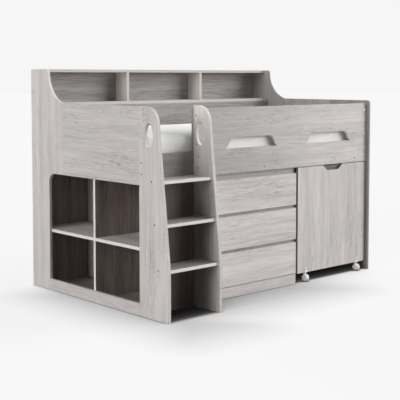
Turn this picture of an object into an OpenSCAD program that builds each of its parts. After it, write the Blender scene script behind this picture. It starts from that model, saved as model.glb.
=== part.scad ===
// Mid sleeper bed with a ladder, a cube store, a drawer chest, a pull-out desk and a bookcase.
// The length runs along X, the front looks towards -Y, and the floor is Z = 0.
// The origin is on the floor, in the middle of the whole object.

/* [Overall] */
// Length over both end panels
bed_len = 1980; // [1950:5:2200]
// Depth from the front edge of the right end to the back of the bookcase
bed_depth = 1130; // [1110:5:1200]
// Height of the bookcase top
bed_h = 1370; // [1340:5:1450]
// Height of the low part of the end panels
side_h = 1162; // [1150:2:1180]
// Thickness of the main boards
board = 18; // [16:1:20]
// Rounding of the upper corners of the end panels
corner_r = 18; // [8:1:30]

/* [End panels] */
// Width of the back post up to the joint with the top rail
post_w = 343; // [320:5:360]
// Width of the back post at its top
post_top_w = 185; // [170:5:200]
// Radius of the hollow curve from the back post down to the rail
curve_r = 200; // [185:1:205]
// Height of the window's sill, which is the bottom rail
sill_h = 67; // [40:1:100]
// How much of the cube store's top board shows under the window's upper edge
window_lap = 2; // [0:1:8]
// Distance from the back of the bed to the window
window_back = 193; // [180:1:230]
// Radius of the window's upper back corner
window_r = 55; // [20:1:80]
// Distance from the bed's front line to the joint of the left stile
stile_joint = 45; // [40:1:80]
// Width of the front post of the right end
front_post_w = 343; // [120:1:400]

/* [Ladder] */
// Width over both stiles
ladder_w = 397; // [360:1:450]
// How far the stiles' feet stand in front of the bed
ladder_reach = 200; // [170:5:240]
// Height of the upright part of the stiles' front edge
foot_h = 285; // [200:5:350]
// Radius of the stiles' rounded top
stile_r = 95; // [80:1:105]
// Distance from the bed's front line to the centre of that round
stile_round_y = 17; // [10:1:30]
// Width of the grab hole
grip_w = 70; // [50:1:76]
// Height of the grab hole
grip_h = 134; // [110:1:150]
// Radius of the grab hole's ends
grip_end_r = 24; // [18:1:24]
// Depth of the grab hole's centre below the top of the stile
grip_down = 159; // [140:1:180]
// Distance from the bed's front line to the grab hole's centre
grip_y = 38; // [34:1:46]
// Height of the bottom tread's upper face
bottom_tread = 285; // [270:1:310]
// Height of the middle tread's upper face
middle_tread = 530; // [500:1:550]
// Height of the top tread's upper face
top_tread = 763; // [740:1:790]
// Gap between the top tread and the front guard
tread_room = 5; // [2:1:20]
// Distance of a tread behind the stiles' front edge
tread_back = 12; // [6:1:20]

/* [Front and back boards] */
// Distance of the guard, drawer fronts and desk front behind the bed's front line
front_set = 20; // [18:1:30]
// Height of the lower edge of the guard boards
guard_z = 748; // [746:1:755]
// Gap between the guard boards and the furniture under them
under_gap = 4; // [2:1:10]
// Depth of the front guard's upper edge below the low part of the end panels
guard_drop = 19; // [14:1:60]
// Height of the low rail in the ladder's gap
gap_rail_top = 897; // [870:1:920]
// Width of a hand slot at its lower edge
slot_w = 450; // [380:5:500]
// Width of a hand slot at its upper edge
slot_top_w = 302; // [240:1:310]
// Height of a hand slot
slot_h = 66; // [50:1:72]
// Height of a hand slot's lower edge above the guard's lower edge
slot_up = 149; // [120:1:170]
// Distance from the right end's inner face to the middle of the near hand slot
slot_right = 394; // [330:1:420]
// Distance between the middles of the two hand slots
slot_pitch = 714; // [600:1:740]
// Slope of the slots' ends
slot_slope = 60; // [50:1:70]
// Angle at which the slots' ends leave their lower edge
slot_lip = 20; // [10:1:30]
// Height of the lower back rail
back_rail_h = 100; // [60:5:140]

/* [Mattress and slats] */
// Gap between the mattress and each end panel
mattress_end_gap = 22; // [5:1:32]
// Gap between the mattress and each guard board
mattress_side_gap = 3.5; // [2:0.5:10]
// Thickness of the mattress at its border
mattress_h = 190; // [120:1:220]
// How far the middle of the mattress stands above its border
mattress_crown = 7; // [2:1:15]
// Rounding of the mattress's long edges
mattress_edge = 12; // [8:1:40]
// How far the sides of the mattress draw in between its corners
mattress_pull = 4; // [1:1:10]
// Radius of the mattress corners seen from above
mattress_corner = 45; // [30:1:80]
// Clear width between the guard boards
recess_w = 907; // [903:1:930]
// Number of slats
slats_n = 14; // [8:1:18]
// Width of a slat
slat_w = 70; // [50:1:90]
// Thickness of a slat
slat_t = 15; // [12:1:20]
// Height of the battens that carry the slats
batten_h = 30; // [25:1:40]
// Width of those battens
batten_w = 25; // [18:1:30]
// Height of the battens' lower edge above the guard's lower edge
batten_up = 12; // [6:1:20]

/* [Bookcase] */
// Depth of the bookcase top and dividers, from the back
bookcase_d = 139; // [120:1:150]
// Thickness of the bookcase's back board
back_t = 15; // [12:1:18]
// Number of compartments
compartments = 3; // [2:1:4]

/* [Cube store] */
// Distance of the cube store's rear side in front of the back of the bed
store_back_in = 52; // [50:1:110]
// Thickness of its base board
base_t = 12; // [8:1:18]

/* [Drawer chest] */
// Width of the chest
chest_w = 858; // [800:1:900]
// Depth of the chest's carcass
chest_d = 460; // [420:5:520]
// Thickness of the carcass boards
carcass_t = 15; // [12:1:18]
// Thickness of the chest's back board
chest_back_t = 4; // [3:1:8]
// Height of the plinth
plinth_h = 64; // [50:1:66]
// Gap between the plinth and the bottom drawer front
plinth_gap = 4; // [3:1:8]
// Height from the top drawer front to the top of the chest
front_space = 33; // [30:1:40]
// Height of the finger gap between two drawer fronts
finger_gap = 20; // [16:1:24]
// Height of the cross rails behind the finger gaps
rail_h = 50; // [40:1:60]
// Gap between a drawer and the cross rail under it
drawer_over = 7; // [4:1:12]
// Gap between a drawer and the cross rail above it
drawer_under = 19; // [10:1:40]
// Space between a drawer and the rear face of the chest
drawer_behind = 40; // [20:5:80]
// Thickness of a drawer's sides and back
drawer_t = 12; // [11:1:15]
// Thickness of a drawer's base
drawer_base_t = 4; // [3:1:5]
// Depth of the groove that the base sits in
base_groove = 5; // [4:1:6]
// Height of the runner strips
runner_h = 10; // [8:1:14]
// How far the runner strips stand out from the carcass
runner_w = 8; // [7:1:9]
// Gap between a drawer's side and the carcass
side_gap = 3; // [2:0.5:4]

/* [Desk] */
// Gap between the desk and the chest
bay_gap = 18; // [8:1:40]
// Length of the desk from its front panel's face to its rear panel's face
desk_d = 900; // [700:10:920]
// Depth of the desk's working face below the front panel's upper edge
desk_drop = 46; // [44:1:64]
// Height of the desk's stretcher board
stretcher_h = 220; // [120:5:300]
// Gap between the desk and the right end
desk_gap = 7; // [5:1:12]
// Width of the handle cut-out at the upper edge
handle_w = 222; // [180:1:260]
// Width of the handle cut-out at its floor
handle_floor_w = 86; // [60:1:100]
// Depth of the handle cut-out
handle_h = 34; // [28:1:38]
// Slope of the handle cut-out's ends
handle_slope = 45; // [40:1:50]

/* [Castors] */
// Radius of a castor's ball shape
ball_r = 25; // [22:0.5:25]
// Half the thickness of the hood plate between the two wheels
hood_half = 4; // [3:0.5:5]
// Height from the top of the wheels to the desk's panels
castor_room = 10; // [10:0.5:16]
// Distance between the swivel axis and the wheel axle
castor_trail = 12; // [10:1:14]
// Radius of the axle
axle_r = 3; // [2.5:0.5:4]
// Radius of the swivel stem
stem_r = 4; // [3:0.5:4.5]
// Width of the bracket
bracket_w = 22; // [18:1:40]
// Height of the bracket's tab on the panel's face
tab_h = 30; // [24:1:50]
// Thickness of the bracket
bracket_t = 2; // [2:0.5:3]
// Distance from the desk's side to the left castor
castor_left_in = 78; // [45:1:120]
// Distance from the desk's side to the right castor
castor_right_in = 84; // [45:1:120]

/* [Screws] */
// Radius of a screw's shank
shank_r = 3; // [2.5:0.5:3.5]
// Radius of a screw's head
head_r = 5; // [4.5:0.5:6]
// Height of a screw's head
head_h = 3; // [2:0.5:4]
// Length of a board screw
screw_len = 50; // [40:1:60]
// Length of a batten screw
batten_screw_len = 36; // [30:1:36]
// Distance from the bed's right end to the nearest batten screw
batten_screw_right = 141; // [100:1:160]
// Distance from the bed's left end to the nearest batten screw
batten_screw_left = 85; // [60:1:160]

/* [Hidden] */
$fn = 48;
// Facets round large circles and round the castor wheels
large_fn = 144;
wheel_fn = 96;
// Running clearance between a shaft and its bore, and the clearance round a fixed screw
run_fit = 0.05;
screw_fit = 0.1;
// Clearance left where one piece rests on or slides past another
seat = 0.3;
slide_gap = 1;
// Cutting shapes reach this far past the faces that they cut
over = 1;

// Lengthways places
x_l = -bed_len / 2;
x_r = bed_len / 2;
x_li = x_l + board;
x_ri = x_r - board;
x_stile = x_l + ladder_w - board;
x_ladder = x_l + ladder_w;
inner_len = x_ri - x_li;

// Places from the front to the back
y_f = (ladder_reach - bed_depth) / 2;
y_b = y_f + bed_depth;
y_panel = y_f + front_set;
y_inner = y_panel + board;
y_recess = y_inner + recess_w;
y_joint = y_f + stile_joint;
y_post = y_b - post_w;
y_window = y_b - window_back;
y_case = y_b - bookcase_d;
y_case_back = y_b - back_t;
y_front_post = y_f + front_post_w;
y_store = y_b - store_back_in;
y_carcass = y_inner + slide_gap;
y_chest = y_carcass + chest_d;

// Heights
shelf_drop = 1;
guard_top = side_h - guard_drop;
unit_top = guard_z - under_gap;
z_batten = guard_z + batten_up;
z_slat = z_batten + batten_h;
z_mattress = z_slat + slat_t + seat;
z_shelf = side_h - shelf_drop;
z_store_top = unit_top - board;
window_top = z_store_top + window_lap;
grip_z = side_h - grip_down;
z_wheel = sqrt(pow(ball_r, 2) - pow(hood_half, 2));

// Chest and drawer places
x_chest = x_ladder;
x_chest_r = x_chest + chest_w;
x_bay = x_chest + carcass_t;
x_bay_r = x_chest_r - carcass_t;
x_box = x_bay + side_gap;
x_box_r = x_bay_r - side_gap;
front_z = plinth_h + plinth_gap;
front_h = (unit_top - front_space - front_z - 2 * finger_gap) / 3;
front_pitch = front_h + finger_gap;
rail_over = (rail_h - finger_gap) / 2;
box_up = rail_over + drawer_over;
drawer_h = front_h - box_up - rail_over - drawer_under;
base_up = 12;
drawer_d = chest_d - drawer_behind;
groove_in = 15;
runner_up = 60;
runner_y = y_inner + groove_in + 2 * slide_gap;
runner_short = 20;
runner_end = y_chest - runner_short;
groove_h = runner_h + 2 * seat;
groove_d = runner_w - side_gap + seat;

// Desk places
x_desk_r = x_ri - desk_gap;
x_desk = x_chest_r + bay_gap;
desk_w = x_desk_r - x_desk;
desk_z = 2 * ball_r + castor_room;
desk_top_z = unit_top - desk_drop;
y_desk_rear = y_panel + desk_d;
desk_under = desk_top_z - board;
stretcher_in = 40;
castor_x = [x_desk + castor_left_in, x_desk_r - castor_right_in];
stem_in = 14;
castor_y = [y_panel + stem_in, y_desk_rear - stem_in];
stem_len = 7;
socket_h = 7;
socket_wall = 3;
hood_in = 4;
hood_r = ball_r - hood_in;
axle_half = ball_r / 2;

tread_z = [bottom_tread, middle_tread, top_tread];
drawer_z = [for (i = [0:2]) front_z + i * front_pitch];
left_screws_z = [guard_z + 41, gap_rail_top - 46];
right_screws_z = [guard_z + 190, guard_top - 45];
batten_screws_x = [x_r - batten_screw_right, (x_l + x_r + batten_screw_left - batten_screw_right) / 2,
    x_l + batten_screw_left];

// Mattress: its outline, the least radius of its rings, and half the width of its level top
mattress_len = inner_len - 2 * mattress_end_gap;
mattress_w = recess_w - 2 * mattress_side_gap;
least_corner = 4;
ridge_half = 12;

oak = [0.75, 0.73, 0.71];
oak_inside = [0.66, 0.64, 0.62];
pine = [0.86, 0.76, 0.6];
cloth = [0.93, 0.93, 0.93];
plastic = [0.94, 0.94, 0.93];
steel = [0.7, 0.7, 0.7];

// A board between two corners
module slab(low, high) {
    translate(low)
        cube(high - low);
}

// A profile drawn with Y across and Z up, as an upright board from x onwards
module upright(x, t) {
    translate([x, 0, 0])
        rotate([90, 0, 90])
            linear_extrude(t)
                children();
}

// A profile drawn with X across and Z up, as a lengthways board from y onwards
module lengthways(y, t) {
    translate([0, y + t, 0])
        rotate([90, 0, 0])
            linear_extrude(t)
                children();
}

// Points along an arc, without its last one, because the next arc starts there
function arc(centre, r, from, to, n) =
    [for (i = [0:n - 1])
        let (a = from + (to - from) * i / n)
        centre + r * [cos(a), sin(a)]];

// An oval of four arcs that run smoothly into each other
module oval(w, h, end_r) {
    side_n = 14;
    end_n = 10;
    half = h / 2 - end_r;
    out = (pow(half, 2) - pow(w / 2 - end_r, 2)) / (w - 2 * end_r);
    side_r = w / 2 + out;
    tip = atan2(half, out);
    polygon(concat(
        arc([-out, 0], side_r, -tip, tip, side_n),
        arc([0, half], end_r, tip, 180 - tip, end_n),
        arc([out, 0], side_r, 180 - tip, 180 + tip, side_n),
        arc([0, -half], end_r, 180 + tip, 360 - tip, end_n)));
}

// One end of a flared cut-out, from its mouth on y = 0 to its floor on y = h: an arc out of the
// mouth, which it leaves at the angle lip, a straight slope, and an arc of the same radius into the floor
function flared_end(mouth, floor_w, h, slope, lip) =
    let (n = 8,
         run = (mouth - floor_w) / 2,
         r = (run * sin(slope) - h * cos(slope)) / (2 - cos(slope) - cos(slope - lip)))
    concat(
        arc([mouth / 2 + r * sin(lip), r * cos(lip)], r, -90 - lip, -90 - slope, n),
        [[mouth / 2 + r * (sin(lip) - sin(slope)), r * (cos(lip) - cos(slope))]],
        arc([floor_w / 2, h - r], r, 90 - slope, 90, n),
        [[floor_w / 2, h]]);

// A flared cut-out, which also cuts lead deep in front of its mouth
module flared_cut(mouth, floor_w, h, slope, lip = 0, lead = 0) {
    side = flared_end(mouth, floor_w, h, slope, lip);
    last = len(side) - 1;
    front = lead > 0 ? [[-mouth / 2, -lead], [mouth / 2, -lead]] : [];
    polygon(concat(front, side, [for (i = [last:-1:0]) [-side[i][0], side[i][1]]]));
}

// What is cut off a square corner to round it, for a corner at the origin whose board lies at +x, -y
module corner_waste(r) {
    difference() {
        translate([-over, -r])
            square([r + over, r + over]);
        translate([r, -r])
            circle(r);
    }
}

// Screws: the head's face is on the origin and the shank runs along +Z
module screw(l) {
    cylinder(h = head_h, r = head_r);
    cylinder(h = l, r = shank_r);
}

module screw_hole(l) {
    translate([0, 0, -over])
        cylinder(h = over + head_h, r = head_r + screw_fit);
    cylinder(h = l + over, r = shank_r + screw_fit);
}

// Slope of the stiles' front edge, which runs from the foot to a tangent of the round top
stile_round = [y_f - stile_round_y, side_h - stile_r];
function stile_slope() =
    let (d = stile_round - [y_f - ladder_reach, foot_h])
    atan2(d[1], d[0]) + asin(stile_r / norm(d));
function stile_front(z) = ladder_reach - max(z - foot_h, 0) / tan(stile_slope());
function tread_y(z) = y_f - stile_front(z) + tread_back;
tread_d = y_panel - tread_room - tread_y(top_tread);

module tread_screws() {
    for (z = tread_z) {
        translate([x_l, tread_y(z) + tread_d / 2, z - board / 2])
            rotate([0, 90, 0])
                children();
        translate([x_ladder, tread_y(z) + tread_d / 2, z - board / 2])
            rotate([0, -90, 0])
                children();
    }
}

module guard_screws() {
    for (z = left_screws_z)
        translate([x_l, y_panel + board / 2, z])
            rotate([0, 90, 0])
                children();
    for (z = right_screws_z)
        translate([x_r, y_panel + board / 2, z])
            rotate([0, -90, 0])
                children();
}

module batten_screws() {
    for (x = batten_screws_x)
        translate([x, y_panel, z_batten + batten_h / 2])
            rotate([-90, 0, 0])
                children();
}

// Back post: tall at the back and hollowed down to the low part of its end panel
module back_post_outline() {
    hollow_y = post_top_w + curve_r - post_w;
    hollow = [y_b - post_top_w - curve_r, side_h + sqrt(pow(curve_r, 2) - pow(hollow_y, 2))];
    difference() {
        translate([y_post, 0])
            square([post_w, bed_h]);
        translate(hollow)
            circle(curve_r, $fn = large_fn);
        translate([y_post - over, hollow[1]])
            square([post_w - post_top_w + over, bed_h]);
        translate([y_b - post_top_w, bed_h])
            corner_waste(corner_r);
    }
}

// What the window takes off the left back post, with its rounded upper corner
module window_waste() {
    translate([y_post - over, -over])
        square([y_window - y_post + over, window_top - window_r + over]);
    translate([y_post - over, window_top - window_r - over])
        square([y_window - window_r - y_post + over, window_r + over]);
    translate([y_window - window_r, window_top - window_r])
        circle(window_r);
}

// What is cut off a stile's corner to round its top
module stile_waste() {
    slope = stile_slope();
    out = stile_r + over;
    function ray(a, far) = far * [cos(a), sin(a)];
    translate(stile_round)
        difference() {
            polygon([[0, 0], ray(90, out), ray(90 + slope / 2, out / cos(slope / 2)), ray(90 + slope, out)]);
            circle(stile_r, $fn = large_fn);
        }
}

// Ladder stile: upright foot, a front edge that leans back, and a rounded top
module stile_outline(rear) {
    difference() {
        polygon([[rear, 0], [y_f - ladder_reach, 0], [y_f - ladder_reach, foot_h],
            [y_f - stile_front(side_h), side_h], [rear, side_h]]);
        stile_waste();
        translate([y_f - grip_y, grip_z])
            oval(grip_w, grip_h, grip_end_r);
    }
}

module left_back_post() {
    color(oak)
        upright(x_l, board)
            difference() {
                back_post_outline();
                window_waste();
            }
}

module left_top_rail() {
    color(oak)
        slab([x_l, y_joint, window_top], [x_li, y_post, side_h]);
}

module left_bottom_rail() {
    color(oak)
        slab([x_l, y_joint, 0], [x_li, y_window, sill_h]);
}

module ladder_stile_left() {
    color(oak)
        difference() {
            upright(x_l, board)
                stile_outline(y_joint);
            tread_screws()
                screw_hole(screw_len);
            guard_screws()
                screw_hole(screw_len);
        }
}

module ladder_stile_right() {
    color(oak)
        difference() {
            upright(x_stile, board)
                stile_outline(y_panel);
            tread_screws()
                screw_hole(screw_len);
        }
}

module tread(z) {
    color(oak)
        difference() {
            slab([x_li, tread_y(z), z - board], [x_stile, tread_y(z) + tread_d, z]);
            tread_screws()
                screw_hole(screw_len);
        }
}

module right_back_post() {
    color(oak)
        upright(x_ri, board)
            back_post_outline();
}

// The right end has no window
module right_middle_panel() {
    color(oak)
        slab([x_ri, y_front_post, 0], [x_r, y_post, side_h]);
}

module right_front_post() {
    color(oak)
        difference() {
            upright(x_ri, board)
                difference() {
                    translate([y_f, 0])
                        square([front_post_w, side_h]);
                    translate([y_f, side_h])
                        corner_waste(corner_r);
                }
            guard_screws()
                screw_hole(screw_len);
        }
}

// Front guard: one long board, lowered in the ladder's gap, with two hand slots
module front_guard() {
    color(oak)
        difference() {
            lengthways(y_panel, board)
                difference() {
                    translate([x_li, guard_z])
                        square([inner_len, guard_top - guard_z]);
                    translate([x_li - over, gap_rail_top])
                        square([x_stile - x_li + over, guard_top]);
                    for (i = [0, 1])
                        translate([x_ri - slot_right - i * slot_pitch, guard_z + slot_up])
                            flared_cut(slot_w, slot_top_w, slot_h, slot_slope, lip = slot_lip);
                }
            guard_screws()
                screw_hole(screw_len);
            batten_screws()
                screw_hole(batten_screw_len);
        }
}

module back_guard() {
    color(oak)
        slab([x_li, y_recess, guard_z], [x_ri, y_recess + board, z_shelf - board]);
}

module back_bottom_rail() {
    color(oak)
        slab([x_li, y_b - board, 0], [x_ri, y_b, back_rail_h]);
}

module bookcase_top() {
    color(oak)
        slab([x_li, y_case, bed_h - board], [x_ri, y_b, bed_h]);
}

module bookcase_shelf() {
    color(oak)
        slab([x_li, y_recess, z_shelf - board], [x_ri, y_case_back, z_shelf]);
}

module bookcase_back() {
    color(oak_inside)
        slab([x_li, y_case_back, z_shelf - board], [x_ri, y_b, bed_h - board]);
}

module bookcase_dividers() {
    bay = (inner_len - (compartments - 1) * board) / compartments;
    color(oak)
        for (i = [1:compartments - 1])
            translate([x_li + i * bay + (i - 1) * board, 0, 0])
                slab([0, y_case, z_shelf], [board, y_case_back, bed_h - board]);
}

module slat_battens() {
    color(pine)
        difference() {
            union() {
                slab([x_li, y_inner, z_batten], [x_ri, y_inner + batten_w, z_slat]);
                slab([x_li, y_recess - batten_w, z_batten], [x_ri, y_recess, z_slat]);
            }
            batten_screws()
                screw_hole(batten_screw_len);
        }
}

module slats() {
    pitch = inner_len / slats_n;
    color(pine)
        for (i = [0:slats_n - 1])
            translate([x_li + (i + 0.5) * pitch, 0, 0])
                slab([-slat_w / 2, y_inner + seat, z_slat], [slat_w / 2, y_recess - seat, z_slat + slat_t]);
}

module frame_screws() {
    color(steel) {
        tread_screws()
            screw(screw_len);
        guard_screws()
            screw(screw_len);
        batten_screws()
            screw(batten_screw_len);
    }
}

// Mattress: rings of a rounded rectangle, flat below, drawn in between its corners, crowned above
function rounded_ring(inset, z, n) =
    let (a = mattress_len / 2 - inset,
         b = mattress_w / 2 - inset,
         r = max(mattress_corner - inset, least_corner))
    [for (q = [0:3], k = [0:n])
        let (t = 90 * k / n,
             c = [(a - r) * [1, -1, -1, 1][q], (b - r) * [1, 1, -1, -1][q]],
             p = c + r * [cos(t + 90 * q), sin(t + 90 * q)])
        [p[0], p[1], z]];
function spread(ring, n, m) =
    [for (i = [0:len(ring) - 1])
        let (p = ring[i],
             q = ring[(i + 1) % len(ring)],
             corner = (i + 1) % (n + 1) != 0)
        each (corner ? [p] : [for (k = [0:m - 1]) p + (q - p) * k / m])];
function drawn(p, pull) =
    let (u = p[0] / (mattress_len / 2),
         v = p[1] / (mattress_w / 2),
         ease = [1 - pow(v, 4), 1 - pow(u, 4)])
    [p[0] * (1 - pull / (mattress_len / 2) * max(0, ease[0])),
     p[1] * (1 - pull / (mattress_w / 2) * max(0, ease[1])), p[2]];

module mattress() {
    corner_n = 4;
    side_n = 8;
    edge_n = 4;
    crown_n = 6;
    ridge = mattress_w / 2 - ridge_half;
    function turn(k) = mattress_edge * [1 - sin(90 * k / edge_n), 1 - cos(90 * k / edge_n)];
    low = [for (k = [0:edge_n]) turn(k)];
    high = [for (k = [edge_n:-1:0]) [turn(k)[0], mattress_h - turn(k)[1]]];
    crown = [for (k = [1:crown_n]) [mattress_edge + (ridge - mattress_edge) * k / crown_n,
        mattress_h + mattress_crown * sin(90 * k / crown_n)]];
    levels = concat(low, high, crown);
    rings = [for (s = levels)
        [for (p = spread(rounded_ring(s[0], s[1], corner_n), corner_n, side_n)) drawn(p, mattress_pull)]];
    count = len(rings[0]);
    last = len(rings) - 1;
    centre = len(rings) * count;
    points = concat([for (ring = rings) each ring], [[0, 0, 0], [0, 0, mattress_h + mattress_crown]]);
    walls = [for (i = [0:last - 1], j = [0:count - 1])
        let (a = i * count + j,
             b = i * count + (j + 1) % count)
        each [[a, a + count, b], [b, a + count, b + count]]];
    floor_fan = [for (j = [0:count - 1]) [j, (j + 1) % count, centre]];
    roof_fan = [for (j = [0:count - 1]) [last * count + (j + 1) % count, last * count + j, centre + 1]];
    color(cloth)
        translate([(x_li + x_ri) / 2, (y_inner + y_recess) / 2, z_mattress])
            polyhedron(points, concat(walls, floor_fan, roof_fan));
}

// Cube store behind the window of the left end
module store_side_front() {
    color(oak)
        slab([x_li, y_panel, 0], [x_ladder, y_inner, unit_top]);
}

module store_side_rear() {
    color(oak)
        slab([x_li, y_store - board, 0], [x_ladder, y_store, unit_top]);
}

y_divider = (y_joint + y_window - board) / 2;
z_cube = (base_t + z_store_top - board) / 2;

module store_divider() {
    color(oak)
        slab([x_li, y_divider, base_t], [x_stile, y_divider + board, z_store_top]);
}

module store_shelves() {
    color(oak) {
        slab([x_li, y_inner, z_cube], [x_stile, y_divider, z_cube + board]);
        slab([x_li, y_divider + board, z_cube], [x_stile, y_store - board, z_cube + board]);
    }
}

module store_top() {
    color(oak)
        slab([x_li, y_inner, z_store_top], [x_stile, y_store - board, unit_top]);
}

module store_base() {
    color(oak)
        slab([x_li, y_inner, 0], [x_stile, y_store - board, base_t]);
}

module store_back() {
    color(oak_inside)
        slab([x_stile, y_inner, 0], [x_ladder, y_store - board, unit_top]);
}

// Drawer chest beside the ladder
module chest_sides() {
    color(oak)
        for (x = [x_chest, x_bay_r])
            slab([x, y_carcass, 0], [x + carcass_t, y_chest, unit_top]);
}

module chest_top() {
    color(oak)
        slab([x_bay, y_carcass + carcass_t, unit_top - carcass_t],
            [x_bay_r, y_chest - chest_back_t, unit_top]);
}

module chest_back() {
    color(oak_inside)
        slab([x_bay, y_chest - chest_back_t, plinth_h], [x_bay_r, y_chest, unit_top]);
}

module chest_rails() {
    color(oak) {
        for (i = [1, 2])
            translate([0, 0, drawer_z[i] - finger_gap / 2 - rail_h / 2])
                slab([x_bay, y_carcass, 0], [x_bay_r, y_carcass + carcass_t, rail_h]);
        slab([x_bay, y_carcass, unit_top - rail_h], [x_bay_r, y_carcass + carcass_t, unit_top]);
        slab([x_bay, y_chest - carcass_t, 0], [x_bay_r, y_chest, plinth_h]);
    }
}

module chest_plinth() {
    color(oak)
        slab([x_chest, y_panel + slide_gap, 0], [x_chest_r, y_carcass, plinth_h]);
}

module chest_runners() {
    color(plastic)
        for (x = [x_bay, x_bay_r - runner_w], z = drawer_z)
            translate([x, runner_y, z + runner_up])
                cube([runner_w, runner_end - runner_y, runner_h]);
}

module drawer_front(z) {
    color(oak)
        slab([x_chest + slide_gap, y_panel, z], [x_chest_r, y_inner, z + front_h]);
}

// Two sides with a runner groove and a base groove, and a back
module drawer_box(z) {
    z_box = z + box_up;
    y_box = y_inner + drawer_d;
    color(oak_inside) {
        for (s = [0, 1])
            difference() {
                translate([s == 0 ? x_box : x_box_r - drawer_t, y_inner, z_box])
                    cube([drawer_t, drawer_d, drawer_h]);
                translate([s == 0 ? x_box - over : x_box_r - groove_d, 0, 0])
                    slab([0, y_inner + groove_in, z + runner_up - seat],
                        [groove_d + over, y_box + over, z + runner_up - seat + groove_h]);
                base_space(z);
            }
        slab([x_box + drawer_t, y_box - drawer_t, z_box + base_up + drawer_base_t + seat],
            [x_box_r - drawer_t, y_box, z_box + drawer_h]);
    }
}

// The groove for the base, open at the rear
module base_space(z) {
    slab([x_box + drawer_t - base_groove, y_inner - over, z + box_up + base_up],
        [x_box_r - drawer_t + base_groove, y_inner + drawer_d + over, z + box_up + base_up + drawer_base_t]);
}

module drawer_base(z) {
    z_base = z + box_up + base_up;
    side_in = drawer_t - base_groove + seat / 2;
    color(oak_inside)
        slab([x_box + side_in, y_inner, z_base],
            [x_box_r - side_in, y_inner + drawer_d, z_base + drawer_base_t]);
}

// Pull-out desk
module desk_front() {
    color(oak)
        lengthways(y_panel, board)
            difference() {
                translate([x_desk, desk_z])
                    square([desk_w, unit_top - desk_z]);
                translate([(x_desk + x_desk_r) / 2, unit_top])
                    mirror([0, 1])
                        flared_cut(handle_w, handle_floor_w, handle_h, handle_slope, lead = over);
            }
}

module desk_rear() {
    color(oak)
        slab([x_desk, y_desk_rear - board, desk_z], [x_desk_r, y_desk_rear, desk_under]);
}

module desk_top() {
    color(oak)
        slab([x_desk, y_inner, desk_under], [x_desk_r, y_desk_rear, desk_top_z]);
}

module desk_stretcher() {
    color(oak)
        slab([x_desk_r - stretcher_in - board, y_inner, desk_under - stretcher_h],
            [x_desk_r - stretcher_in, y_desk_rear - board, desk_under]);
}

// Castors: i counts front left, front right, rear left, rear right
module at_castor(i) {
    translate([castor_x[i % 2], castor_y[floor(i / 2)], 0])
        mirror([0, floor(i / 2), 0])
            children();
}

module castor_bracket() {
    z_flange = desk_z - bracket_t;
    slab([-bracket_w / 2, -stem_in - bracket_t, z_flange], [bracket_w / 2, stem_in, desk_z]);
    slab([-bracket_w / 2, -stem_in - bracket_t, z_flange], [bracket_w / 2, -stem_in, desk_z + tab_h]);
    translate([0, 0, z_flange - stem_len])
        cylinder(h = stem_len, r = stem_r);
}

module castor_brackets() {
    color(plastic)
        for (i = [0:3])
            at_castor(i)
                castor_bracket();
}

module castor_hood(i) {
    z_socket = desk_z - bracket_t - seat - socket_h;
    plate_t = 2 * hood_half - seat;
    color(plastic)
        at_castor(i)
            difference() {
                union() {
                    translate([plate_t / 2, -castor_trail, z_wheel])
                        rotate([0, -90, 0])
                            cylinder(h = plate_t, r = hood_r);
                    translate([-plate_t / 2, -castor_trail, z_wheel])
                        cube([plate_t, castor_trail + stem_r, z_socket + socket_h - z_wheel - over]);
                    translate([0, 0, z_socket])
                        cylinder(h = socket_h, r = stem_r + socket_wall);
                    translate([-axle_half, -castor_trail, z_wheel])
                        rotate([0, 90, 0])
                            cylinder(h = 2 * axle_half, r = axle_r);
                }
                translate([0, 0, z_socket - over])
                    cylinder(h = socket_h + 2 * over, r = stem_r + run_fit);
            }
}

// One half-ball wheel on the Z axis, with its axle bore open below
module half_ball() {
    rotate_extrude($fn = wheel_fn)
        difference() {
            intersection() {
                circle(ball_r, $fn = large_fn);
                translate([0, hood_half])
                    square(ball_r);
            }
            square([axle_r + run_fit, axle_half + seat]);
        }
}

// Two half-ball wheels that turn on the hood's axle
module castor_wheels(i) {
    color(plastic)
        at_castor(i)
            translate([0, -castor_trail, z_wheel])
                for (s = [0, 1])
                    mirror([s, 0, 0])
                        rotate([0, 90, 0])
                            half_ball();
}

left_back_post();
left_top_rail();
left_bottom_rail();
ladder_stile_left();
ladder_stile_right();
tread(bottom_tread);  // tread_bottom
tread(middle_tread);  // tread_middle
tread(top_tread);  // tread_top
right_back_post();
right_middle_panel();
right_front_post();
front_guard();
back_guard();
back_bottom_rail();
bookcase_top();
bookcase_shelf();
bookcase_back();
bookcase_dividers();
slat_battens();
slats();
mattress();
frame_screws();
store_side_front();
store_side_rear();
store_divider();
store_shelves();
store_top();
store_base();
store_back();
chest_sides();
chest_top();
chest_back();
chest_rails();
chest_plinth();
chest_runners();
drawer_front(drawer_z[0]);  // drawer_bottom_front
drawer_box(drawer_z[0]);  // drawer_bottom_box
drawer_base(drawer_z[0]);  // drawer_bottom_base
drawer_front(drawer_z[1]);  // drawer_middle_front
drawer_box(drawer_z[1]);  // drawer_middle_box
drawer_base(drawer_z[1]);  // drawer_middle_base
drawer_front(drawer_z[2]);  // drawer_top_front
drawer_box(drawer_z[2]);  // drawer_top_box
drawer_base(drawer_z[2]);  // drawer_top_base
desk_front();
desk_rear();
desk_top();
desk_stretcher();
castor_brackets();
castor_hood(0);  // castor_hood_1
castor_hood(1);  // castor_hood_2
castor_hood(2);  // castor_hood_3
castor_hood(3);  // castor_hood_4
castor_wheels(0);  // castor_wheels_1
castor_wheels(1);  // castor_wheels_2
castor_wheels(2);  // castor_wheels_3
castor_wheels(3);  // castor_wheels_4
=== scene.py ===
"""Looks of a mid sleeper bed in grey oak foiled board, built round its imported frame. Units are metres."""

import math

import bmesh
import bpy
from mathutils import Matrix, Vector


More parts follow.
